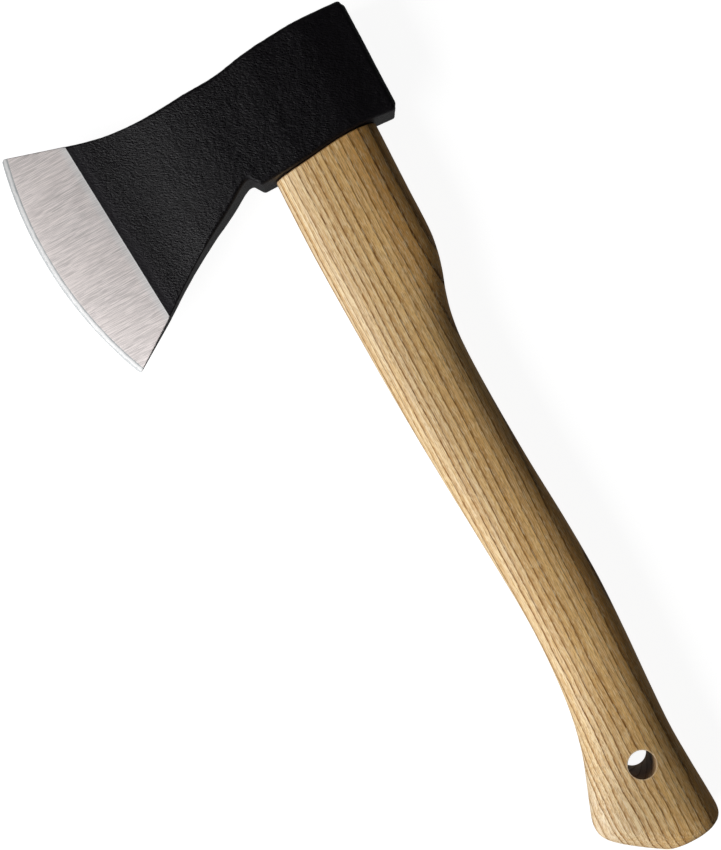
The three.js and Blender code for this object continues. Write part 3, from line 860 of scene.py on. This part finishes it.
def handle_skin():
    """The skin of the grip from the chamfered shoulder to the butt: a section at each place."""
    angle = np.linspace(0, 2 * math.pi, AROUND + 1)[None, :]
    places = grip_places()[:, None]
    y, z = grip_section(places, angle)
    grip = stacked(places, y, MID_Z + z)
    # The shoulder: its chamfer, then a lead from the cut, which follows the head, to the grip
    yc, zc = grip_section(SHOULDER_X + SHOULDER_CHAMFER, angle, SHOULDER_CHAMFER)
    yo, zo = grip_section(SHOULDER_X + SHOULDER_CHAMFER, angle)
    cut_in = stacked(shoulder(yc), yc, MID_Z + zc)
    cut_out = stacked(shoulder(yo) + SHOULDER_CHAMFER, yo, MID_Z + zo)
    lead = mix(cut_out, grip[:1], np.linspace(0, 1, 4)[1:-1, None, None])
    return np.concatenate([cut_in, cut_out, lead, grip])


def butt_cap(ring):
    """Closes the butt: the last section shrinks to its middle on a low dome."""
    middle = ring.mean(1, keepdims=True)
    share = np.linspace(1, 0, 7)[:, None, None]
    return mix(middle, ring, share)


def hole_patches(skin, window_rows, window_columns):
    """Fills the window round the hanging hole on one side of the handle: rings that go from the
    window's rim to the hole's circle on the skin, round its edge and down the bore to the middle."""
    r0, r1 = window_rows
    c0, c1 = window_columns
    loop = np.concatenate([
        skin[r0, c0:c1], skin[r0:r1, c1], skin[r1, c1:c0:-1], skin[r1:r0:-1, c0], skin[r0:r0 + 1, c0],
    ])
    up = np.sign(loop[:, 2].mean() - MID_Z)
    offset = loop[:, :2] - HOLE
    angle = np.arctan2(offset[:, 1], offset[:, 0])
    circle = np.stack([np.cos(angle), np.sin(angle)], -1)
    outer = (HOLE_RADIUS + HOLE_ROUNDING) * circle
    share = np.linspace(0, 1, 14)[:, None, None] ** 0.9
    flat = HOLE + mix(offset, outer, share)
    height = grip_height(flat[..., 0], flat[..., 1])
    height[0] = np.abs(loop[:, 2] - MID_Z)
    skirt = stacked(flat[..., 0], flat[..., 1], MID_Z + up * height)
    turn = np.linspace(0, math.pi / 2, 7)[:, None]
    reach = HOLE_RADIUS + HOLE_ROUNDING * (1 - np.sin(turn))
    fx, fy = HOLE[0] + reach * circle[:, 0], HOLE[1] + reach * circle[:, 1]
    drop = HOLE_ROUNDING * (1 - np.cos(turn))
    rim = stacked(fx, fy, MID_Z + up * (grip_height(fx, fy) - drop))
    middle = rim[-1].copy()
    middle[:, 2] = MID_Z
    bore = mix(rim[-1:], middle[None], np.linspace(0, 1, 12)[:, None, None])
    return [skirt, rim, bore]


def kerf_half(x):
    """Half the width of the sawn kerf, and of the web that closes it below its bottom."""
    open_part = KERF_BOTTOM_HALF + KERF_SLOPE * (KERF_BOTTOM_X - x)
    web = KERF_BOTTOM_HALF * np.clip((KERF_WEB_X - x) / (KERF_WEB_X - KERF_BOTTOM_X), 0, 1)
    return np.where(x <= KERF_BOTTOM_X, open_part, web)


def tongue_patches(shoulder_ring):
    """The tongue in the eye: two legs beside the kerf, the web below it, the kerf's walls and
    bottom, the sawn ends and the shoulder's face."""
    half_y, half_z = EYE_LENGTH / 2 - FIT_GAP, EYE_WIDTH / 2 - FIT_GAP
    count = AROUND // 2 + 1
    patches = []
    down = np.linspace(0, 1, 12)
    low_share, high_share = np.linspace(0, 1, 8)[:, None], np.linspace(0, 1, 30)[:, None]
    walls = {}
    for sign in (1, -1):
        def leg(x_plain):
            """Tongue points of this leg at even places X, before its ends follow the head."""
            start = np.arcsin(np.clip(kerf_half(x_plain) / half_z, 0, 1) ** (TONGUE_POWER / 2))
            angle = mix(start, math.pi - start, np.linspace(0, 1, count)[None, :])
            return oval(angle, half_y, half_z, TONGUE_POWER)
        y0, z0 = leg(mix(SHOULDER_X, KERF_BOTTOM_X, low_share))
        x0 = mix(shoulder(y0), KERF_BOTTOM_X, low_share)
        y1, z1 = leg(mix(KERF_BOTTOM_X, TONGUE_TOP_X, high_share))
        x1 = mix(KERF_BOTTOM_X, top_line(y1) - TONGUE_PROUD, high_share)
        solid = stacked(x0, y0, MID_Z + sign * z0)
        split = stacked(x1, y1, MID_Z + sign * z1)
        patches += [solid, split]
        wall = split.copy()
        wall[..., 2] = MID_Z + sign * z1[:, :1]
        patches.append(wall)
        patches.append(mix(split[-1:], wall[-1:], down[:, None, None]))
        walls[sign] = (solid, wall)
        # The shoulder's face, from the chamfer's inner ring to the tongue
        ring = shoulder_ring[:count] if sign > 0 else shoulder_ring[count - 1:][::-1]
        face = mix(ring[None], solid[:1], np.linspace(0, 1, 5)[:, None, None])
        patches.append(face)
    for column in (0, -1):
        web = np.stack([walls[1][0][:, column], walls[-1][0][:, column]], 1)
        patches.append(web)
    patches.append(np.stack([walls[1][1][0], walls[-1][1][0]], 0))
    return patches


def ash_handle():
    """The handle as one closed mesh. Each vertex knows how far past the shoulder it lies."""
    skin = handle_skin()
    rows = np.nonzero(np.abs(skin[:, 0, 0] - HOLE[0]) < HOLE_WINDOW)[0]
    r0, r1 = rows[0], rows[-1]
    # Columns of the window, about the top of the section. The hole lies nearer to the back
    quarter = AROUND // 4
    c0, c1 = quarter - 20, quarter + 14
    windows = [(c0, c1), (AROUND - c1, AROUND - c0)]
    patches = [skin[:r0 + 1], skin[r1:], butt_cap(skin[-1:])]
    last = 0
    for a, b in windows:
        patches.append(skin[r0:r1 + 1, last:a + 1])
        last = b
    patches.append(skin[r0:r1 + 1, last:])
    for window in windows:
        patches += hole_patches(skin, (r0, r1), window)
    patches += tongue_patches(skin[0])
    marked = [stacked(*np.moveaxis(p, -1, 0), p[..., 0] - shoulder(p[..., 1])) for p in patches]
    return closed_mesh("handle", marked, ("past_shoulder",), sharp=42)


# ---- Assembly ---------------------------------------------------------------------------------------

def dress(piece, material):
    """Gives a piece its one material."""
    piece.data.materials.clear()
    piece.data.materials.append(material)


def make_hatchet():
    """The fine head and handle in place of the plain ones, and finishes for the two wedges."""
    head = axe_head()
    dress(head, forged_and_ground())
    grip = ash_handle()
    dress(grip, ash_wood())
    for piece, node, slot in ((head, "axe_head", "head_lacquer"), (grip, "handle", "handle_ash")):
        piece.name = node + "_fine"
        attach(piece, "root")
        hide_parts(node)
    dress(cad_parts["wooden_wedge"], wedge_wood())
    dress(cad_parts["ring_wedge"], wedge_steel())


def make_floor():
    """A pale floor under the hatchet that shows from above only, so the underside can be seen."""
    corners = [(-1, -1), (1, -1), (1, 1), (-1, 1)]
    mesh = bpy.data.meshes.new("floor")
    mesh.from_pydata([(FLOOR_HALF * a, FLOOR_HALF * b, 0) for a, b in corners], [], [(0, 1, 2, 3)])
    floor = bpy.data.objects.new("floor", mesh)
    bpy.context.scene.collection.objects.link(floor)
    n = Nodes("pale floor")
    diffuse = n.add("BsdfDiffuse", {"Color": (FLOOR_SHADE, FLOOR_SHADE, FLOOR_SHADE, 1)})
    glow = n.add("Emission", {"Color": (1, 1, 1, 1), "Strength": FLOOR_GLOW})
    both = n.add("AddShader", {0: diffuse.outputs[0], 1: glow.outputs[0]})
    clear = n.add("BsdfTransparent")
    below = n.add("NewGeometry").outputs["Backfacing"]
    shown = n.add("MixShader", {0: below, 1: both.outputs[0], 2: clear.outputs[0]})
    n.tree.links.new(shown.outputs[0], n.out.inputs[0])
    mesh.materials.append(n.material)
    floor.visible_diffuse = False
    floor.visible_glossy = False
    floor.visible_shadow = False


def make_light():
    """The key light, and a dim room that is lighter below than above. The camera sees the room as
    a pale backdrop."""
    make_key()
    world = bpy.data.worlds.new("studio")
    bpy.context.scene.world = world
    world.use_nodes = True
    tree = world.node_tree
    tree.nodes.clear()
    out = tree.nodes.new("ShaderNodeOutputWorld")
    dim = tree.nodes.new("ShaderNodeBackground")
    direction = tree.nodes.new("ShaderNodeTexCoord")
    split = tree.nodes.new("ShaderNodeSeparateXYZ")
    height = tree.nodes.new("ShaderNodeMapRange")
    height.interpolation_type = "SMOOTHSTEP"
    for socket, value in enumerate((-0.35, 0.05, 0.24, 0.072), start=1):
        height.inputs[socket].default_value = value
    tree.links.new(direction.outputs["Generated"], split.inputs[0])
    tree.links.new(split.outputs["Z"], height.inputs[0])
    tree.links.new(height.outputs[0], dim.inputs[1])
    pale = tree.nodes.new("ShaderNodeBackground")
    pale.inputs[0].default_value = (0.96, 0.96, 0.96, 1)
    shown = tree.nodes.new("ShaderNodeMixShader")
    seen = tree.nodes.new("ShaderNodeLightPath")
    tree.links.new(seen.outputs["Is Camera Ray"], shown.inputs[0])
    tree.links.new(dim.outputs[0], shown.inputs[1])
    tree.links.new(pale.outputs[0], shown.inputs[2])
    tree.links.new(shown.outputs[0], out.inputs[0])
    bpy.context.scene.view_settings.view_transform = "Standard"


make_floor()
make_light()
make_hatchet()
